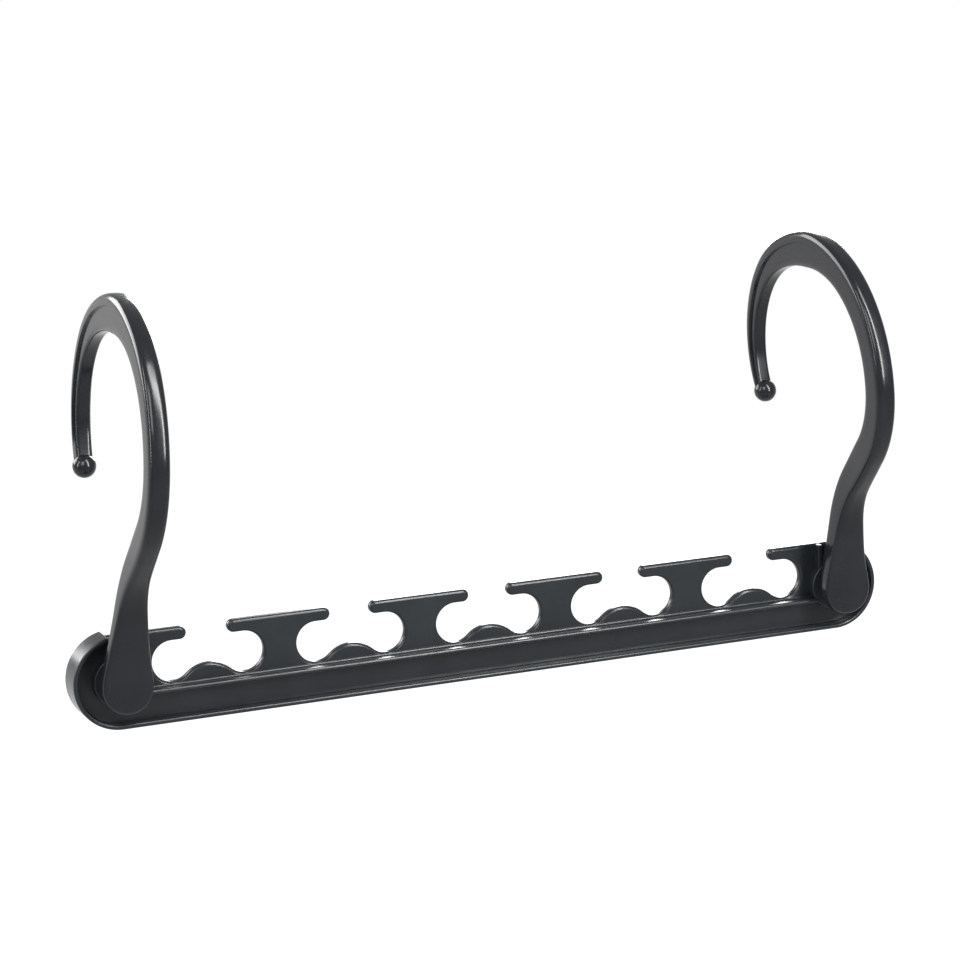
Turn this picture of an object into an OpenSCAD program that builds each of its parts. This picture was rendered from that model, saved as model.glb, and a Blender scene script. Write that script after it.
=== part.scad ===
// Cascading hanger: a slotted bar carried by two swivelling hooks.
// X runs along the bar, Y from its front to its back, Z up. The origin lies at the height where a
// rail's top touches the two hooks, halfway between their pivots.

/* [Bar] */
// Distance between the two hook pivots
pivot_spacing = 231; // [230:0.5:234]
// Radius of the round ends, and depth of the bar below the pivots
end_r = 13.9; // [13.5:0.1:14.5]
// Depth of the bar from front to back, over its flanges and rims
bar_d = 10; // [9:0.5:12]
// Thickness of the upright web
web_t = 2.2; // [1.8:0.1:2.6]
// Thickness of the flanges and of the rims round the ends
wall_t = 1.4; // [1.2:0.1:1.6]
// Height of the upper flange's top, below the pivots
ledge_drop = 3.5; // [3.2:0.1:4]

/* [Hanger slots] */
// Number of slots
slots = 5; // [5]
// Distance between neighbouring slots
pitch = 44; // [43.5:0.1:44.2]
// Radius of the round seat at each side of a slot
seat_r = 6.05; // [5.9:0.05:6.1]
// Distance of a seat's centre from the slot's middle
seat_x = 10.85; // [10.7:0.05:11]
// Height of the seats' centres above the pivots
seat_z = 3.4; // [3.3:0.1:3.8]
// Height of the hump between the seats, above the seats' bottoms
hump_h = 4.2; // [3.6:0.1:4.5]
// Thickness of the arms that close a slot
arm_t = 3.8; // [3.4:0.1:4.2]
// Width of the mouth between two arms
mouth_w = 12.4; // [10:0.2:14]

/* [Pivots] */
// Radius of the hook's split pin
pin_r = 3.3; // [3:0.1:3.6]
// Running clearance round the pin
pin_gap = 0.05; // [0.03:0.01:0.08]
// Radius of the boss that the pin turns in
boss_r = 7.75; // [7.5:0.05:7.8]
// Play between faces that turn on each other
face_gap = 0.3; // [0.2:0.05:0.4]

/* [Hooks] */
// Inward lean of the left hook at rest
left_lean = 4; // [0:0.5:6]
// Inward lean of the right hook at rest
right_lean = 2; // [0:0.5:6]
// Radius of the round lower end
foot_r = 7.5; // [7.2:0.1:7.8]
// Thickness of the lower end, from its face to the boss
foot_t = 8.7; // [8:0.1:9.5]
// Half the width of the upright part of the rod
rod_w = 3.3; // [3:0.05:3.6]
// Half the width of the rod at its tip
tip_w = 2.8; // [2.6:0.05:3]
// Radius of the arc up to its crest, along the rod's middle
arc_r = 39.4; // [38.6:0.1:40.2]
// Radius of the last part of the arc, down to the tip
tail_r = 32.6; // [31:0.1:34]
// Turn of the last part of the arc
tail_turn = 98; // [90:1:102]
// Radius of the ball at the tip
ball_r = 3.3; // [3.2:0.1:3.8]

/* [Hidden] */
$fn = 96;
plastic = "#3a3d42";

pivot_x = pivot_spacing / 2;
arm_z = seat_z + seat_r + arm_t / 2;

// Where the rim round an end stops at its top, outward of the pivot
rim_end = 2;

// Hump circle that touches both seats from below
hump_top = seat_z - seat_r + hump_h;
hump_r = (pow(seat_x, 2) + pow(seat_z - hump_top, 2) - pow(seat_r, 2)) / (2 * (seat_r - seat_z + hump_top));
hump_z = hump_top - hump_r;
touch_z = (seat_z * hump_r + hump_z * seat_r) / (hump_r + seat_r);

// The rod leans forward by lean_a, then by bend_a, and the arc turns it back over the rail
foot_y = bar_d / 2 - 0.4 + face_gap + foot_t / 2;
lean_a = 14;
bend_a = 44;
lead = [40, lean_a];
lower = [0, 12.4];
bend = [33, bend_a - lean_a];
neck = [28, -bend_a];
rise = [arc_r, -90];
fall = [54, -20];
tail = [tail_r, -tail_turn];
reach = arc_r - foot_y - lead[0] * (1 - cos(lean_a)) - lower[1] * sin(lean_a)
    - bend[0] * (cos(lean_a) - cos(bend_a)) - neck[0] * (1 - cos(bend_a));
upper = [0, reach / sin(bend_a)];
rod = [lead, lower, bend, upper, neck, rise, fall, tail];
start = [-foot_y, 0, 0];

// Length of one piece of the rod, the place and tilt after a run along it, and the same along the rod
function run(g) = g[0] == 0 ? g[1] : g[0] * abs(g[1]) * PI / 180;
function ride(q, g, s) = g[0] == 0
    ? [q[0] - s * sin(q[2]), q[1] + s * cos(q[2]), q[2]]
    : let (w = sign(g[1]), a = q[2] + w * s / g[0] * 180 / PI)
        [q[0] + w * g[0] * (cos(a) - cos(q[2])), q[1] + w * g[0] * (sin(a) - sin(q[2])), a];
function along(s, q = start, i = 0) = i == len(rod) - 1 || s <= run(rod[i])
    ? ride(q, rod[i], s)
    : along(s - run(rod[i]), ride(q, rod[i], run(rod[i])), i + 1);
function length(i = 0) = i == len(rod) ? 0 : run(rod[i]) + length(i + 1);

rod_l = length();
crest_s = rod_l - run(fall) - run(tail);

// Half the depth of the rod along it: slim above the foot, full over the rail, slender at the tip
depths = [[0, foot_t / 2], [14, 4], [24, 4.5], [48, 5.2], [118, 5.3], [crest_s, 5.75], [rod_l, 1.6]];

// Half its width: round foot, drawn in to the rod over foot_l
foot_l = 52;
function fade(s) = pow(1 - min(s, foot_l) / foot_l, 2);
function half_d(s) = lookup(s, depths);
function half_w(s) = rod_w + (tip_w - rod_w) * s / rod_l + (foot_r - rod_w) * fade(s);

// Cross section of the rod: an outer lip with a rounded back, and a slightly narrower flat inner side
lip_d = 3.4;
function bulge(x, n) = sign(x) * pow(abs(x), 2 / n);
function lip(s) = min(lip_d, half_d(s));
function outer_side(s, from = 0, to = 180) = let (n = 4 + 6 * fade(s))
    [for (a = [from:15:to]) [half_w(s) * bulge(cos(a), n), half_d(s) - lip(s) * (1 - bulge(sin(a), n))]];
function inner_side(s, from = 180, to = 360) = let (
        w = half_w(s) - 0.3 - 0.9 * fade(s),
        top = half_d(s) - lip(s) - 0.3,
        d = half_d(s) + top
    ) [for (a = [from:18:to]) [w * bulge(cos(a), 10), top + d * bulge(sin(a), 10)]];
function ring(s) = let (q = along(s))
    [for (p = concat(outer_side(s), inner_side(s))) [p.x, q[0] - p.y * cos(q[2]), q[1] - p.y * sin(q[2])]];

rail_z = (along(crest_s)[1] - half_d(crest_s)) * cos((left_lean + right_lean) / 2);

module loft(rings) {
    m = len(rings[0]);
    last = len(rings) - 1;
    polyhedron(
        points = [for (r = rings) each r],
        faces = concat(
            [[for (j = [m - 1:-1:0]) j]],
            [[for (j = [0:m - 1]) last * m + j]],
            [for (i = [0:last - 1], j = [0:m - 1])
                let (k = (j + 1) % m)
                each [[i * m + j, (i + 1) * m + k, (i + 1) * m + j], [i * m + j, i * m + k, (i + 1) * m + k]]]
        )
    );
}

module pill(l) {
    square([l - arm_t, arm_t], center = true);
    for (x = [-1, 1])
        translate([x * (l - arm_t) / 2, 0])
            circle(d = arm_t);
}

// One slot as seen from the front: two round seats, with a hump between them and an open mouth above
module slot() {
    for (x = [-1, 1])
        translate([x * seat_x, seat_z])
            circle(seat_r);
    difference() {
        translate([-seat_x, touch_z])
            square([2 * seat_x, 30]);
        translate([0, hump_z])
            circle(hump_r);
    }
}

// Front view of the web, with T-shaped posts between the slots and a half prong at each end. Its top
// is level from one rim's end to the other.
module web_outline() {
    span = slots * pitch;
    prong = pivot_x - (span - pitch + mouth_w) / 2;
    difference() {
        union() {
            for (x = [-1, 1])
                translate([x * pivot_x, 0])
                    circle(end_r);
            translate([-pivot_x, -end_r])
                square([pivot_spacing, end_r + arm_z]);
        }
        for (i = [0:slots - 1])
            translate([(i - (slots - 1) / 2) * pitch, 0])
                slot();
        translate([-pivot_x - rim_end, arm_z + arm_t / 2])
            square([pivot_spacing + 2 * rim_end, end_r]);
    }
    for (i = [1:slots - 1])
        translate([i * pitch - span / 2, arm_z])
            pill(pitch - mouth_w);
    for (x = [-1, 1])
        translate([x * (pivot_x + arm_t / 4 - prong / 2), arm_z])
            pill(prong + arm_t / 2);
}

// Front view of the rim round the outer half of one end
module rim() {
    difference() {
        circle(end_r);
        circle(end_r - wall_t);
        translate([-rim_end, wall_t - end_r])
            square([2 * end_r, 2 * end_r]);
    }
}

module upright(t) {
    rotate([90, 0, 0])
        linear_extrude(t, center = true)
            children();
}

module bar_body() {
    upright(web_t)
        web_outline();
    translate([-pivot_x, -bar_d / 2, -end_r])
        cube([pivot_spacing, bar_d, wall_t]);
    upright(bar_d)
        translate([-pivot_x + 6, -ledge_drop - wall_t])
            square([pivot_spacing - 12, wall_t]);
    for (a = [0, 180])
        rotate([0, 0, a])
            translate([-pivot_x, 0, 0])
                upright(bar_d)
                    rim();
    for (x = [-1, 1]) {
        translate([x * pivot_x, 0, 0])
            rotate([90, 0, 0])
                cylinder(h = bar_d / 2 - 0.4, r = boss_r);
        // Rib from the boss up to the arm, on the front only
        translate([x * (pivot_x - 5 + wall_t / 2), -bar_d / 4, (boss_r / 2 + end_r - wall_t) / 2])
            cube([wall_t, bar_d / 2, end_r - wall_t - boss_r / 2], center = true);
    }
}

module slotted_bar() {
    color(plastic)
        translate([0, 0, -rail_z])
            difference() {
                bar_body();
                for (x = [-1, 1])
                    translate([x * pivot_x, 0, 0])
                        rotate([90, 0, 0])
                            cylinder(h = 2 * bar_d, r = pin_r + pin_gap, center = true);
            }
}

// Split snap pin on the back of the foot, along +Z from the foot's inner face
module snap_pin() {
    seat = bar_d / 2 - 0.4 + face_gap + web_t / 2;
    difference() {
        union() {
            translate([0, 0, -1])
                cylinder(h = seat + 2, r = pin_r);
            translate([0, 0, seat + 0.15])
                rotate_extrude()
                    polygon([[0, 0], [pin_r + 0.8, 0], [pin_r + 0.8, 0.7], [pin_r - 0.5, 2.6], [0, 2.6]]);
        }
        translate([-10, -0.7, 1.5])
            cube([20, 1.4, 20]);
    }
}

// One hook, with its pivot at the origin and its rod upright
module hook() {
    rotate([90, 0, 0])
        translate([0, 0, foot_y])
            rotate_extrude()
                polygon([for (p = concat(inner_side(0, 270), outer_side(0, 0, 90))) p * 1.006]);
    loft([for (i = [0:52]) ring(rod_l * i / 52)]);
    tip = along(rod_l);
    translate([0, tip[0], tip[1]])
        sphere(ball_r);
    translate([0, foot_t / 2 - foot_y, 0])
        rotate([-90, 0, 0])
            snap_pin();
}

module hook_at(side, lean) {
    color(plastic)
        translate([side * pivot_x, 0, -rail_z])
            rotate([0, -side * lean, 0])
                hook();
}

module left_hook() {
    hook_at(-1, left_lean);
}

module right_hook() {
    hook_at(1, right_lean);
}

slotted_bar();
left_hook();
right_hook();
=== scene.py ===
"""Cascading hanger: a slotted bar and two swivelling rail hooks, all moulded in charcoal plastic."""

import math

import bmesh
import bpy
from mathutils import Matrix, Vector


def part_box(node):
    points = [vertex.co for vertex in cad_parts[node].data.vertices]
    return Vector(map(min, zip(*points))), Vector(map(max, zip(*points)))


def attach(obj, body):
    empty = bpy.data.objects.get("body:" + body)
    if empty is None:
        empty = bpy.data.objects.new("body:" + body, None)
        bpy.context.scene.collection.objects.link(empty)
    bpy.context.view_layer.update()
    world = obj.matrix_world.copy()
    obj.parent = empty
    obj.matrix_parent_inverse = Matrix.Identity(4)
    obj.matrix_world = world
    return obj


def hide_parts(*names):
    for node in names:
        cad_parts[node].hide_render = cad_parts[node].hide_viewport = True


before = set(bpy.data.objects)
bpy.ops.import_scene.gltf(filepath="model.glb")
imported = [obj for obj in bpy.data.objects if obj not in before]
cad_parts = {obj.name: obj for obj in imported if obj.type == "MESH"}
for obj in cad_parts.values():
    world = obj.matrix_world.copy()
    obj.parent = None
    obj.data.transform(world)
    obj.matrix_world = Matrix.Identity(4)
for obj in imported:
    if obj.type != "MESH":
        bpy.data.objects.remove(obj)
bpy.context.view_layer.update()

# Every shape is drawn in millimetres, with the line through the two pivots at z = 0
MM = 0.001

# Bar
PIVOT_X = 115.5
BAR_HALF = 5.0
WEB_HALF = 1.5
WEB_SOFT = 1.0
END_R = 13.9
WALL = 1.4
WALL_R = END_R - WALL / 2
WALL_SOFT = 0.5
RIM_BLUNT = 0.25
LEDGE_TOP = -3.5
LEDGE_END = PIVOT_X - 6
LEDGE_SOFT = 0.6
FILLET_R = 0.5
RAIL_Z = -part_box("slotted_bar")[0].z / MM - END_R

# How far past the pivot, outward, the web's level top and the rim's upper end reach
WEB_TOP_END = 2.4
RIM_END = 2.9

# Hanger slots: two round seats, a hump between them and a mouth between two arms
SLOTS = 5
PITCH = 44.0
SEAT_R, SEAT_X, SEAT_Z = 6.05, 10.85, 3.4
HUMP_H = 4.2
ARM_HALF = 1.9
ARM_Z = SEAT_Z + SEAT_R + ARM_HALF
ARM_TOP = ARM_Z + ARM_HALF
MOUTH_HALF = 6.2

# Pivots
PIN_R = 3.3
BORE_R = PIN_R + 0.05
BOSS_R = 7.75
BOSS_FACE = BAR_HALF - 0.4
BOSS_SOFT, BORE_SOFT = 0.3, 0.2
FACE_PLAY = 0.3

# Rib beside the boss: its distance from the pivot, its drop behind the bar's front and its rounding
RIB_X, RIB_INSET, RIB_SOFT = 3.6, 1.4, 0.35
RIB_FOOT, RIB_TOP = 4.5, ARM_TOP - 0.2

# A part that runs into the web starts this far from the web's middle
SUNK = 0.5

# Hooks
FOOT_R, FOOT_T = 7.5, 8.7
FOOT_Y = BOSS_FACE + FACE_PLAY + FOOT_T / 2
ROD_W, TIP_W, BALL_R = 3.3, 2.8, 3.55
LEFT_LEAN, RIGHT_LEAN = 4, 2


def cosd(a):
    return math.cos(math.radians(a))


def sind(a):
    return math.sin(math.radians(a))


def arc(cx, cz, r, start, end, step=5.0):
    """Points along a round corner or seat, both ends included."""
    n = max(1, round(abs(end - start) / step))
    turns = [start + (end - start) * i / n for i in range(n + 1)]
    return [(cx + r * cosd(a), cz + r * sind(a)) for a in turns]


# Shells

# Points closer than this are welded into one, and a seam's points lie this near to its line
SAME, ON_SEAM = 1e-4, 1e-3

# An edge that turns by more than this, in radians, is crisp and gets rounded
CRISP = 0.7


def weld(bm):
    """Joins what touches and turns every face outward."""
    bmesh.ops.remove_doubles(bm, verts=bm.verts, dist=SAME)
    bmesh.ops.recalc_face_normals(bm, faces=bm.faces)


def soften(bm, width, segments=3):
    """Rounds the moulding's crisp edges."""
    edges = [e for e in bm.edges if e.is_manifold and e.calc_face_angle(0) > CRISP]
    bmesh.ops.bevel(
        bm, geom=edges, offset=width, segments=segments, profile=0.5, affect="EDGES", clamp_overlap=False
    )


def gather(parts):
    """One mesh out of several closed shells."""
    whole = bmesh.new()
    for part in parts:
        mesh = bpy.data.meshes.new("shell")
        part.to_mesh(mesh)
        part.free()
        whole.from_mesh(mesh)
        bpy.data.meshes.remove(mesh)
    return whole


def block(x, y, z, width):
    """A block between the given pairs of limits, its edges rounded by the width."""
    bm = bmesh.new()
    bmesh.ops.create_cube(bm, size=1.0)
    size = (x[1] - x[0], y[1] - y[0], z[1] - z[0])
    middle = Vector(((x[0] + x[1]) / 2, (y[0] + y[1]) / 2, (z[0] + z[1]) / 2))
    bmesh.ops.scale(bm, vec=size, verts=bm.verts)
    bmesh.ops.translate(bm, vec=middle, verts=bm.verts)
    soften(bm, width)
    return bm


def join_rings(bm, near, far, n):
    """Faces between two neighbouring rings of vertices, along n of their sides."""
    for k in range(n):
        m = (k + 1) % len(near)
        bm.faces.new((near[k], near[m], far[m], far[k]))


def turned(profile, closed=False, steps=72):
    """Turns a profile of (radius, height) round the Y axis."""
    bm = bmesh.new()
    rows = []
    for i in range(steps):
        a = 360 * i / steps
        rows.append([bm.verts.new((r * cosd(a), h, r * sind(a))) for r, h in profile])
    sides = len(profile) if closed else len(profile) - 1
    for near, far in zip(rows, rows[1:] + rows[:1]):
        join_rings(bm, near, far, sides)
    weld(bm)
    return bm


def skin(rings):
    """A closed shell through a row of rings of points."""
    bm = bmesh.new()
    rows = [[bm.verts.new(p) for p in ring] for ring in rings]
    for near, far in zip(rows, rows[1:]):
        join_rings(bm, near, far, len(near))
    bm.faces.new(rows[0])
    bm.faces.new(rows[-1])
    weld(bm)
    return bm


def line_key(a, b):
    """A name for the line between two points, the same from either end."""
    return frozenset(((round(a[0], 4), round(a[1], 4)), (round(b[0], 4), round(b[1], 4))))


def plate(outlines, seams):
    """The web's thickness given to flat outlines, open where two of them meet and along the upright seams."""
    bm = bmesh.new()
    used = {}
    for outline in outlines:
        for a, b in zip(outline, outline[1:] + outline[:1]):
            used[line_key(a, b)] = used.get(line_key(a, b), 0) + 1
    for outline in outlines:
        front = [bm.verts.new((x, -WEB_HALF, z)) for x, z in outline]
        back = [bm.verts.new((x, WEB_HALF, z)) for x, z in outline]
        bm.faces.new(front)
        bm.faces.new(back[::-1])
        for k in range(len(outline)):
            m = (k + 1) % len(outline)
            a, b = outline[k], outline[m]
            at_seam = any(max(abs(a[0] - x), abs(b[0] - x)) < ON_SEAM for x in seams)
            if used[line_key(a, b)] == 1 and not at_seam:
                bm.faces.new((front[m], front[k], back[k], back[m]))
    bmesh.ops.remove_doubles(bm, verts=bm.verts, dist=SAME)
    return bm


# Nodes that several trees use


def math_node(tree, operation, a, b):
    """The result of an operation on two numbers, each a value or another node's output."""
    node = tree.nodes.new("ShaderNodeMath")
    node.operation = operation
    for socket, value in zip(node.inputs, (a, b)):
        if isinstance(value, (int, float)):
            socket.default_value = value
        else:
            tree.links.new(value, socket)
    return node.outputs[0]


def map_range(tree, value, given, wanted, kind="LINEAR"):
    """Carries a value from one pair of limits over to another."""
    node = tree.nodes.new("ShaderNodeMapRange")
    node.interpolation_type = kind
    node.inputs["From Min"].default_value, node.inputs["From Max"].default_value = given
    node.inputs["To Min"].default_value, node.inputs["To Max"].default_value = wanted
    tree.links.new(value, node.inputs["Value"])
    return node.outputs["Result"]


# Plastic


def charcoal(name, light, dark, rough, grain):
    """Charcoal moulded plastic: faint mottling in its colour and gloss, and a very fine skin texture."""
    mat = bpy.data.materials.new(name)
    mat.use_nodes = True
    tree = mat.node_tree
    nodes, links = tree.nodes, tree.links
    shader = nodes["Principled BSDF"]
    shader.inputs["Specular IOR Level"].default_value = 0.25
    place = nodes.new("ShaderNodeTexCoord")

    def speckle(scale, detail, stretch=(1, 1, 1)):
        turn = nodes.new("ShaderNodeMapping")
        turn.inputs["Scale"].default_value = stretch
        noise = nodes.new("ShaderNodeTexNoise")
        noise.inputs["Scale"].default_value = scale
        noise.inputs["Detail"].default_value = detail
        links.new(place.outputs["Object"], turn.inputs["Vector"])
        links.new(turn.outputs["Vector"], noise.inputs["Vector"])
        return noise.outputs["Fac"]

    def bump(height, strength, distance):
        node = nodes.new("ShaderNodeBump")
        node.inputs["Strength"].default_value = strength
        node.inputs["Distance"].default_value = distance
        links.new(height, node.inputs["Height"])
        return node

    tint = nodes.new("ShaderNodeValToRGB")
    for stop, position, colour in zip(tint.color_ramp.elements, (0.35, 0.68), (dark, light)):
        stop.position = position
        stop.color = (*colour, 1)
    links.new(speckle(70, 3), tint.inputs["Fac"])
    links.new(tint.outputs["Color"], shader.inputs["Base Color"])
    gloss = map_range(tree, speckle(260, 5, (1, 1, 0.45)), (0.3, 0.7), rough)
    links.new(gloss, shader.inputs["Roughness"])
    fine_skin = bump(speckle(1500, 1), grain, 0.03 * MM)
    sink_marks = bump(speckle(60, 1), 0.1, 0.1 * MM)
    links.new(fine_skin.outputs["Normal"], sink_marks.inputs["Normal"])
    links.new(sink_marks.outputs["Normal"], shader.inputs["Normal"])
    return mat


bar_plastic = charcoal(
    "charcoal_satin",
    light=(0.0112, 0.0130, 0.0146),
    dark=(0.0088, 0.0104, 0.0118),
    rough=(0.20, 0.27),
    grain=0.03,
)
hook_plastic = charcoal(
    "charcoal_polished",
    light=(0.0074, 0.0082, 0.0096),
    dark=(0.0058, 0.0065, 0.0077),
    rough=(0.15, 0.20),
    grain=0.01,
)


def mould(bm, name, plastic, body, node, sharp):
    """Puts a finished moulding in the scene, in metres, in place of its CAD node."""
    bmesh.ops.transform(bm, matrix=Matrix.Scale(MM, 4), verts=bm.verts)
    for face in bm.faces:
        face.smooth = True
        face.material_index = 0
    mesh = bpy.data.meshes.new(name)
    bm.to_mesh(mesh)
    bm.free()
    mesh.materials.clear()
    mesh.materials.append(plastic)
    mesh.set_sharp_from_angle(angle=math.radians(sharp))
    piece = bpy.data.objects.new(name, mesh)
    bpy.context.scene.collection.objects.link(piece)
    even = piece.modifiers.new("even_shading", "WEIGHTED_NORMAL")
    even.keep_sharp = True
    even.weight = 60
    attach(piece, body)
    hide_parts(node)
    return piece


# Bar


def slot_outline():
    """The web of one slot, from the middle of one post to the middle of the next."""
    hump_top = SEAT_Z - SEAT_R + HUMP_H
    hump_r = (SEAT_X**2 + (SEAT_Z - hump_top) ** 2 - SEAT_R**2) / (2 * (SEAT_R - SEAT_Z + hump_top))
    hump_z = hump_top - hump_r
    lean = math.degrees(math.atan2(SEAT_Z - hump_z, SEAT_X))
    half = [(PITCH / 2, 0), (PITCH / 2, ARM_TOP)]
    half += arc(MOUTH_HALF + ARM_HALF, ARM_Z, ARM_HALF, 90, 270, 12)
    half += arc(SEAT_X, SEAT_Z, SEAT_R, 90, lean - 180)
    half += arc(0, hump_z, hump_r, lean, 90, 4)[1:]
    other = [(-x, z) for x, z in half[::-1]][1:]
    return half + other + [(-PITCH / 2, -WALL_R), (PITCH / 2, -WALL_R)]


def row_tree():
    """A tree that repeats a slot's web in a row along X, and its inputs' identifiers by name."""
    tree = bpy.data.node_groups.new("row_of_slots", "GeometryNodeTree")
    face = tree.interface
    inputs = {}
    kinds = {"Geometry": "Geometry", "Slots": "Int", "Pitch": "Float", "Plastic": "Material"}
    for name, kind in kinds.items():
        socket = face.new_socket(name, in_out="INPUT", socket_type="NodeSocket" + kind)
        inputs[name] = socket.identifier
    face.new_socket("Geometry", in_out="OUTPUT", socket_type="NodeSocketGeometry")
    nodes, links = tree.nodes, tree.links
    given = nodes.new("NodeGroupInput").outputs
    result = nodes.new("NodeGroupOutput")

    first = nodes.new("ShaderNodeCombineXYZ")
    half_span = math_node(tree, "MULTIPLY", math_node(tree, "SUBTRACT", given["Slots"], 1), -0.5)
    links.new(math_node(tree, "MULTIPLY", half_span, given["Pitch"]), first.inputs["X"])
    step = nodes.new("ShaderNodeCombineXYZ")
    links.new(given["Pitch"], step.inputs["X"])
    row = nodes.new("GeometryNodeMeshLine")
    row.mode = "OFFSET"
    links.new(given["Slots"], row.inputs["Count"])
    links.new(first.outputs["Vector"], row.inputs["Start Location"])
    links.new(step.outputs["Vector"], row.inputs["Offset"])
    repeat = nodes.new("GeometryNodeInstanceOnPoints")
    links.new(row.outputs["Mesh"], repeat.inputs["Points"])
    links.new(given["Geometry"], repeat.inputs["Instance"])
    real = nodes.new("GeometryNodeRealizeInstances")
    links.new(repeat.outputs["Instances"], real.inputs["Geometry"])
    joined = nodes.new("GeometryNodeMergeByDistance")
    joined.inputs["Distance"].default_value = SAME
    links.new(real.outputs["Geometry"], joined.inputs["Geometry"])
    finish = nodes.new("GeometryNodeSetMaterial")
    links.new(joined.outputs["Geometry"], finish.inputs["Geometry"])
    links.new(given["Plastic"], finish.inputs["Material"])
    links.new(finish.outputs["Geometry"], result.inputs["Geometry"])
    return tree, inputs


def slot_row():
    """The web of all the slots, settled into one plain mesh."""
    tree, inputs = row_tree()
    cell = plate([slot_outline()], (-PITCH / 2, PITCH / 2))
    mesh = bpy.data.meshes.new("slot_web")
    cell.to_mesh(mesh)
    cell.free()
    holder = bpy.data.objects.new("slot_web", mesh)
    bpy.context.scene.collection.objects.link(holder)
    repeat = holder.modifiers.new("row_of_slots", "NODES")
    repeat.node_group = tree
    repeat[inputs["Slots"]] = SLOTS
    repeat[inputs["Pitch"]] = PITCH
    repeat[inputs["Plastic"]] = bar_plastic
    settled = bpy.data.meshes.new_from_object(holder.evaluated_get(bpy.context.evaluated_depsgraph_get()))
    bm = bmesh.new()
    bm.from_mesh(settled)
    bpy.data.objects.remove(holder)
    bpy.data.meshes.remove(settled)
    bpy.data.meshes.remove(mesh)
    return bm


def end_web(side):
    """The round end of the web with the pivot's bore, drawn in two halves that meet at the pivot."""
    seam = PIVOT_X - SLOTS * PITCH / 2
    under_rim = 103
    upper = [(seam, 0), (seam, ARM_TOP), (-WEB_TOP_END, ARM_TOP)] + arc(0, 0, WALL_R, under_rim, 180)
    upper += arc(0, 0, BORE_R, 180, 0, 7.5)
    lower = [(seam, 0)] + arc(0, 0, BORE_R, 0, -180, 7.5) + arc(0, 0, WALL_R, 180, 270) + [(seam, -WALL_R)]
    halves = [[(side * (PIVOT_X - x), z) for x, z in half] for half in (upper, lower)]
    return plate(halves, (side * SLOTS * PITCH / 2,))


def web():
    """The whole upright web, its edges rounded."""
    bm = gather([slot_row(), end_web(-1), end_web(1)])
    weld(bm)
    soften(bm, WEB_SOFT, 5)
    return bm


def wall_section():
    """The flange's cross section, as (depth, distance out from its middle line), with round corners."""
    section = []
    for deep, out, turn in ((1, 1, 0), (-1, 1, 90), (-1, -1, 180), (1, -1, 270)):
        corner = (deep * (BAR_HALF - WALL_SOFT), out * (WALL / 2 - WALL_SOFT))
        section += arc(*corner, WALL_SOFT, turn, turn + 90, 22.5)
    return section


def lower_wall():
    """The lower flange, carried on round both ends as their rims."""
    start = math.degrees(math.acos(-RIM_END / WALL_R))
    left = [(x - PIVOT_X, z, x / WALL_R, z / WALL_R) for x, z in arc(0, 0, WALL_R, start, 270, 3)]
    route = left + [(-x, z, -nx, nz) for x, z, nx, nz in left[::-1]]
    section = wall_section()

    def ring(stop, thin=1.0, shallow=1.0):
        x, z, nx, nz = stop
        return [Vector((x + nx * n * thin, y * shallow, z + nz * n * thin)) for y, n in section]

    rings = [ring(stop) for stop in route]
    tips = []
    for last, before in ((0, 1), (-1, -2)):
        onward = (rings[last][0] - rings[before][0]).normalized() * RIM_BLUNT
        tips.append([p + onward for p in ring(route[last], thin=0.6, shallow=0.97)])
    return skin([tips[0], *rings, tips[1]])


def fillet():
    """The hollow rounding where the ledge's top runs into the web."""
    y, z = -WEB_HALF - FILLET_R, LEDGE_TOP + FILLET_R
    inside = 0.4
    hollow = [(y + FILLET_R * cosd(a), z + FILLET_R * sind(a)) for a in range(0, -91, -15)]
    in_web, in_ledge = inside - WEB_HALF, LEDGE_TOP - inside
    section = hollow + [(y, in_ledge), (in_web, in_ledge), (in_web, z)]
    return skin([[(x, *p) for p in section] for x in (-LEDGE_END, LEDGE_END)])


def boss(side):
    """The round seat that a hook's foot turns against, with a rounded outer edge."""
    profile = [
        (BORE_R, -SUNK),
        (BORE_R, BORE_SOFT - BOSS_FACE),
        (BORE_R + BORE_SOFT, -BOSS_FACE),
        (BOSS_R - BOSS_SOFT, -BOSS_FACE),
        (BOSS_R - BOSS_SOFT * 0.3, BOSS_SOFT * 0.3 - BOSS_FACE),
        (BOSS_R, BOSS_SOFT - BOSS_FACE),
        (BOSS_R, -SUNK),
    ]
    bm = turned(profile, closed=True)
    bmesh.ops.translate(bm, vec=(side * PIVOT_X, 0, 0), verts=bm.verts)
    return bm


def rib(side):
    """The short upright rib between a boss and the arm above it, on the front only."""
    near, far = sorted((side * (PIVOT_X - RIB_X), side * (PIVOT_X - RIB_X - WALL)))
    return block((near, far), (RIB_INSET - BAR_HALF, -SUNK), (RIB_FOOT, RIB_TOP), RIB_SOFT)


def bar():
    """The bar's one moulding: web, flanges, rims, and a boss and a rib at each end."""
    ledge = block((-LEDGE_END, LEDGE_END), (-BAR_HALF, BAR_HALF), (LEDGE_TOP - WALL, LEDGE_TOP), LEDGE_SOFT)
    parts = [web(), lower_wall(), ledge, fillet()]
    for side in (-1, 1):
        parts += [boss(side), rib(side)]
    whole = gather(parts)
    bmesh.ops.translate(whole, vec=(0, 0, -RAIL_Z), verts=whole.verts)
    return whole


mould(bar(), "bar_moulding", bar_plastic, "bar", "slotted_bar", sharp=50)


# Hooks

# The rod leans forward, then bends further, and the arc turns it back over the rail
LEAN, BEND = 14, 44
LEAD_R, BEND_R, NECK_R, ARC_R = 40, 33, 28, 39.4
LOWER_L = 12.4
REACH = ARC_R - FOOT_Y - LEAD_R * (1 - cosd(LEAN)) - LOWER_L * sind(LEAN)
REACH = REACH - BEND_R * (cosd(LEAN) - cosd(BEND)) - NECK_R * (1 - cosd(BEND))

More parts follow.
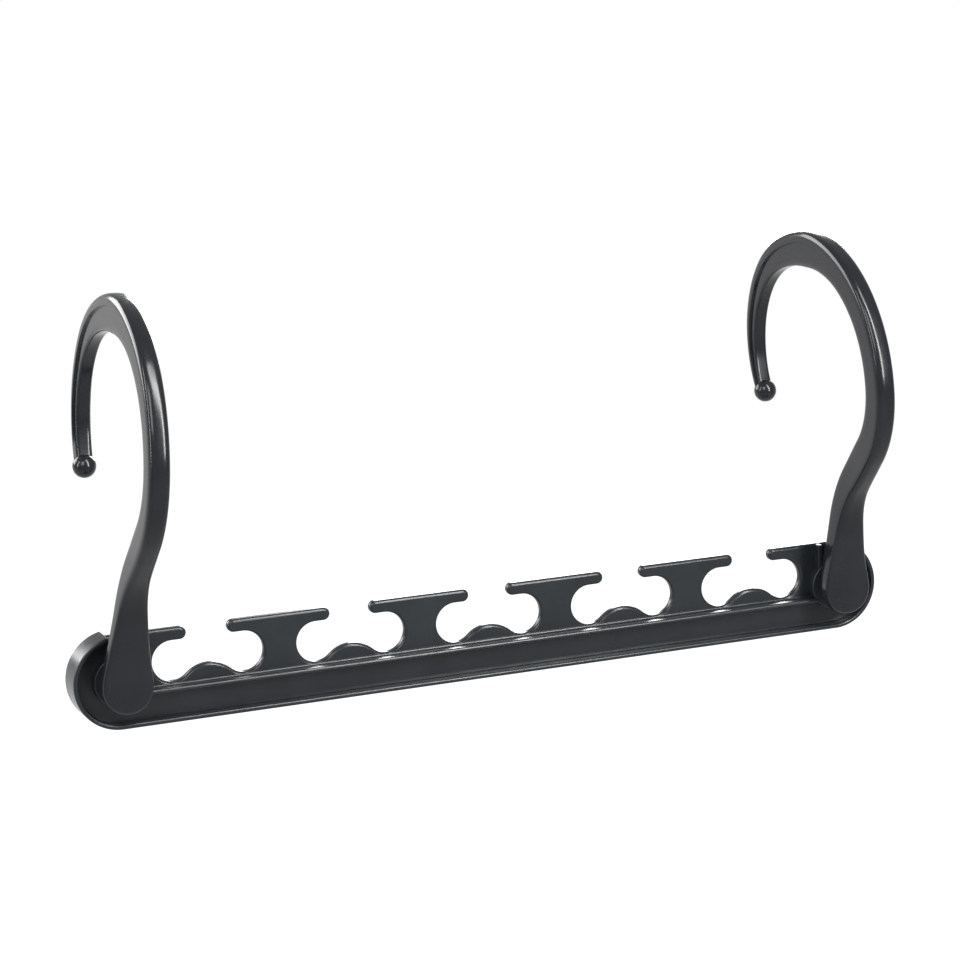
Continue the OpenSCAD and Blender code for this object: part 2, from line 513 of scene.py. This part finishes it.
# The rod's middle line from the pivot up: (radius, turn) of an arc, or (0, length) of a straight
ROD = [
    (LEAD_R, LEAN),
    (0, LOWER_L),
    (BEND_R, BEND - LEAN),
    (0, REACH / sind(BEND)),
    (NECK_R, -BEND),
    (ARC_R, -90),
    (54, -20),
    (32.6, -98),
]
RUNS = [t if r == 0 else r * math.radians(abs(t)) for r, t in ROD]
ROD_L = sum(RUNS)
CREST = ROD_L - RUNS[-1] - RUNS[-2]

# Half the rod's depth at distances along it
DEPTHS = [(0, FOOT_T / 2), (14, 4.0), (24, 4.5), (48, 5.2), (118, 5.3), (CREST, 5.75), (ROD_L, 1.6)]

# The foot's width runs out at BLEND_END along the rod; up to FOOT_EASE it stays nearly whole
BLEND_END, BLEND_L, FOOT_EASE = 49.5, 47, 5

# The section's outer lip, the gap below it, the step in to the inner side, and the step's extra at the foot
LIP, LIP_GAP, LIP_STEP, FOOT_STEP = 3.4, 0.25, 0.7, 0.6

# Snap pin, as (radius, distance behind the foot): the solid root, and each prong's shaft and barb
PIN_ROOT = [(0, -1), (PIN_R, -1), (PIN_R, 1.5), (0, 1.5)]
PIN_SHAFT = [(0, 1.4), (PIN_R, 1.4), (PIN_R, 6.5)]
PIN_BARB = [(3.95, 6.5), (4.1, 6.65), (4.1, 7.0), (4.0, 7.2), (2.9, 8.6), (2.6, 8.75), (0, 8.75)]
SLIT_HALF = 0.7


def rod_at(s):
    """Depth and height of the rod's middle line, and its tilt, at a distance along it."""
    y, z, a = -FOOT_Y, 0.0, 0.0
    for (r, turn), run in zip(ROD, RUNS):
        d = min(s, run) if (r, turn) != ROD[-1] else s
        if r == 0:
            y, z = y - d * sind(a), z + d * cosd(a)
        else:
            w = math.copysign(1, turn)
            b = a + w * math.degrees(d / r)
            y, z, a = y + w * r * (cosd(b) - cosd(a)), z + w * r * (sind(b) - sind(a)), b
        s -= d
        if s <= 1e-9:
            break
    return y, z, a


def blend_in(s):
    """1 at the round foot, falling smoothly to 0 where the rod has its own width."""
    if s >= BLEND_END:
        return 0.0
    if s >= FOOT_EASE:
        return ((BLEND_END - s) / BLEND_L) ** 2
    at_ease = ((BLEND_END - FOOT_EASE) / BLEND_L) ** 2
    return 1 - (1 - at_ease) * (s / FOOT_EASE) ** 2


def half_depth(s):
    for (s0, d0), (s1, d1) in zip(DEPTHS, DEPTHS[1:]):
        if s <= s1:
            share = (s - s0) / (s1 - s0)
            return d0 + (d1 - d0) * share
    return DEPTHS[-1][1]


def half_width(s):
    return ROD_W + (TIP_W - ROD_W) * s / ROD_L + (FOOT_R - ROD_W) * blend_in(s)


def bulge(v, n):
    """A coordinate of a squared-off circle; the higher n is, the squarer."""
    return math.copysign(abs(v) ** (2 / n), v) if abs(v) > 1e-9 else 0.0


def half_section(s):
    """Right half of the rod's section, from the middle of its inner side to that of its rounded back."""
    w, d, f = half_width(s), half_depth(s), blend_in(s)
    lip = min(LIP, d)
    inner = w - LIP_STEP - FOOT_STEP * f
    top = d - lip - LIP_GAP
    inner_turns, outer_turns = 13, 21
    inner_square, outer_square = 7, 3.4 + 6 * f
    points = []
    for i in range(inner_turns + 1):
        a = 270 + 90 * i / inner_turns
        points.append((inner * bulge(cosd(a), inner_square), top + (d + top) * bulge(sind(a), inner_square)))
    for i in range(outer_turns + 1):
        a = 90 * i / outer_turns
        points.append((w * bulge(cosd(a), outer_square), d - lip * (1 - bulge(sind(a), outer_square))))
    points[0] = (0.0, points[0][1])
    points[-1] = (0.0, points[-1][1])
    return points


def rod():
    """The whole lofted part: the round end of the foot, turned, and the rod that grows out of it."""
    bm = bmesh.new()
    flat = half_section(0)
    foot_steps, rod_steps = 60, 230
    rows = []
    for j in range(foot_steps + 1):
        a = 180 * j / foot_steps
        rows.append([bm.verts.new((x * cosd(a), -FOOT_Y - y, -x * sind(a))) for x, y in flat])
    for near, far in zip(rows, rows[1:]):
        join_rings(bm, near, far, len(flat) - 1)
    rings = []
    for i in range(rod_steps + 1):
        s = ROD_L * i / rod_steps
        y0, z0, a = rod_at(s)
        half = half_section(s)
        loop = half + [(-x, y) for x, y in half[-2:0:-1]]
        rings.append([bm.verts.new((x, y0 - y * cosd(a), z0 - y * sind(a))) for x, y in loop])
    for near, far in zip(rings, rings[1:]):
        join_rings(bm, near, far, len(near))
    bm.faces.new(rings[-1])
    weld(bm)
    return bm


def ball_tip():
    bm = bmesh.new()
    bmesh.ops.create_uvsphere(bm, u_segments=48, v_segments=24, radius=BALL_R)
    y, z, _ = rod_at(ROD_L)
    bmesh.ops.translate(bm, vec=(0, y, z), verts=bm.verts)
    return bm


def snap_pin():
    """Split pivot pin on the back of the foot: a solid root and two barbed prongs."""
    parts = [turned(PIN_ROOT)]
    for side in (-1, 1):
        prong = turned(PIN_SHAFT + PIN_BARB)
        cut = bmesh.ops.bisect_plane(
            prong,
            geom=prong.verts[:] + prong.edges[:] + prong.faces[:],
            plane_co=(0, 0, side * SLIT_HALF),
            plane_no=(0, 0, side),
            clear_inner=True,
        )
        edge = [e for e in cut["geom_cut"] if isinstance(e, bmesh.types.BMEdge)]
        bmesh.ops.edgenet_fill(prong, edges=edge)
        weld(prong)
        soften(prong, 0.12, 2)
        parts.append(prong)
    pin = gather(parts)
    bmesh.ops.translate(pin, vec=(0, FOOT_T / 2 - FOOT_Y, 0), verts=pin.verts)
    return pin


def hook(side, lean):
    """One hook in its place, leaning inward."""
    bm = gather([rod(), ball_tip(), snap_pin()])
    turn = Matrix.Rotation(math.radians(-side * lean), 4, "Y")
    place = Matrix.Translation((side * PIVOT_X, 0, -RAIL_Z)) @ turn
    bmesh.ops.transform(bm, matrix=place, verts=bm.verts)
    return bm


mould(hook(-1, LEFT_LEAN), "left_hook_moulding", hook_plastic, "left_hook", "left_hook", sharp=60)
mould(hook(1, RIGHT_LEAN), "right_hook_moulding", hook_plastic, "right_hook", "right_hook", sharp=60)


# Floor, light and camera, in metres

# The floor lies below where a hook reaches when it has swung right down
FLOOR_Z = -0.235
FLOOR_HALF = 60


def paper_white():
    """White paper: lit plainly, with part of its own white for what the camera and the gloss see."""
    mat = bpy.data.materials.new("white_paper")
    mat.use_nodes = True
    tree = mat.node_tree
    nodes, links = tree.nodes, tree.links
    shader = nodes["Principled BSDF"]
    shader.inputs["Base Color"].default_value = (0.9, 0.9, 0.9, 1)
    shader.inputs["Roughness"].default_value = 0.9
    shader.inputs["Specular IOR Level"].default_value = 0.1
    path = nodes.new("ShaderNodeLightPath").outputs
    place = nodes.new("ShaderNodeTexCoord").outputs["Object"]

    # Its own white is full for the camera, and for gloss it grows toward the back
    spot = nodes.new("ShaderNodeSeparateXYZ")
    links.new(place, spot.inputs["Vector"])
    rear = map_range(tree, spot.outputs["Y"], (-0.4, 0.5), (0.35, 1.0), "SMOOTHSTEP")
    glow = nodes.new("ShaderNodeEmission")
    glow.inputs["Color"].default_value = (1, 1, 1, 1)
    links.new(math_node(tree, "MAXIMUM", path["Is Camera Ray"], rear), glow.inputs["Strength"])

    # Near the object some of the lit paper shows, and with it the object's shadow
    away = nodes.new("ShaderNodeVectorMath")
    away.operation = "LENGTH"
    links.new(place, away.inputs[0])
    fade = map_range(tree, away.outputs["Value"], (0.3, 1.3), (0.8, 1.0), "SMOOTHSTEP")
    seen = math_node(tree, "MAXIMUM", path["Is Camera Ray"], path["Is Glossy Ray"])
    mix = nodes.new("ShaderNodeMixShader")
    links.new(math_node(tree, "MULTIPLY", seen, fade), mix.inputs["Fac"])
    links.new(shader.outputs["BSDF"], mix.inputs[1])
    links.new(glow.outputs["Emission"], mix.inputs[2])
    links.new(mix.outputs["Shader"], nodes["Material Output"].inputs["Surface"])
    return mat


def studio_floor():
    bm = bmesh.new()
    bmesh.ops.create_grid(bm, x_segments=1, y_segments=1, size=FLOOR_HALF)
    bmesh.ops.translate(bm, vec=(0, 0, FLOOR_Z), verts=bm.verts)
    mesh = bpy.data.meshes.new("floor")
    bm.to_mesh(mesh)
    bm.free()
    mesh.materials.append(paper_white())
    floor = bpy.data.objects.new("floor", mesh)
    bpy.context.scene.collection.objects.link(floor)


def softbox(name, place, aim_z, size, power):
    """A rectangular lamp that faces the middle of the object at the given height."""
    lamp = bpy.data.lights.new(name, "AREA")
    lamp.shape = "RECTANGLE"
    lamp.size, lamp.size_y = size
    lamp.energy = power
    holder = bpy.data.objects.new(name, lamp)
    holder.location = place
    holder.rotation_euler = (Vector((0, 0, aim_z)) - Vector(place)).to_track_quat("-Z", "Y").to_euler()
    bpy.context.scene.collection.objects.link(holder)


def daylight():
    """Soft grey room light, and plain white where the camera sees past the floor."""
    world = bpy.data.worlds.new("room")
    bpy.context.scene.world = world
    world.use_nodes = True
    tree = world.node_tree
    nodes, links = tree.nodes, tree.links
    room = nodes["Background"]
    room.inputs["Color"].default_value = (0.95, 0.98, 1.0, 1)
    room.inputs["Strength"].default_value = 0.3
    white = nodes.new("ShaderNodeBackground")
    white.inputs["Color"].default_value = (1, 1, 1, 1)
    white.inputs["Strength"].default_value = 1.0
    path = nodes.new("ShaderNodeLightPath").outputs
    gloss = math_node(tree, "MULTIPLY", path["Is Glossy Ray"], 0.35)
    clear = math_node(tree, "MAXIMUM", path["Is Camera Ray"], path["Is Transmission Ray"])
    mix = nodes.new("ShaderNodeMixShader")
    links.new(math_node(tree, "MAXIMUM", clear, gloss), mix.inputs["Fac"])
    links.new(room.outputs["Background"], mix.inputs[1])
    links.new(white.outputs["Background"], mix.inputs[2])
    links.new(mix.outputs["Shader"], nodes["World Output"].inputs["Surface"])


def camera():
    """The photograph's viewpoint, turned to the object and held at the photograph's slight tilt."""
    lens = bpy.data.cameras.new("camera")
    lens.lens = 116.1
    lens.sensor_width = 36
    lens.clip_start = 0.05
    holder = bpy.data.objects.new("camera", lens)
    place, aim = Vector((-0.3337, -0.8435, 0.11728)), Vector((-0.00055, 0, -0.05421))
    look = (aim - place).to_track_quat("-Z", "Y").to_matrix().to_4x4()
    tilt = Matrix.Rotation(math.radians(-2.52), 4, "Z")
    holder.matrix_world = Matrix.Translation(place) @ look @ tilt
    bpy.context.scene.collection.objects.link(holder)
    bpy.context.scene.camera = holder


studio_floor()
daylight()
softbox("front_right_strip", (0.38, -0.88, 0.50), -0.03, (0.16, 1.15), 23)
softbox("front_top", (0.15, -0.42, 0.85), -0.04, (0.22, 0.22), 3)
softbox("front_left_high", (-0.55, -0.75, 0.62), -0.05, (0.5, 0.6), 8)
softbox("left_strip", (-1.0, -0.1, 0.38), -0.03, (0.09, 0.9), 7)
softbox("back_left", (-0.7, 0.8, 0.35), -0.05, (0.8, 0.6), 14)
softbox("back_right", (0.5, 0.9, 0.25), -0.05, (0.5, 0.5), 9)
camera()
bpy.context.scene.view_settings.view_transform = "Standard"
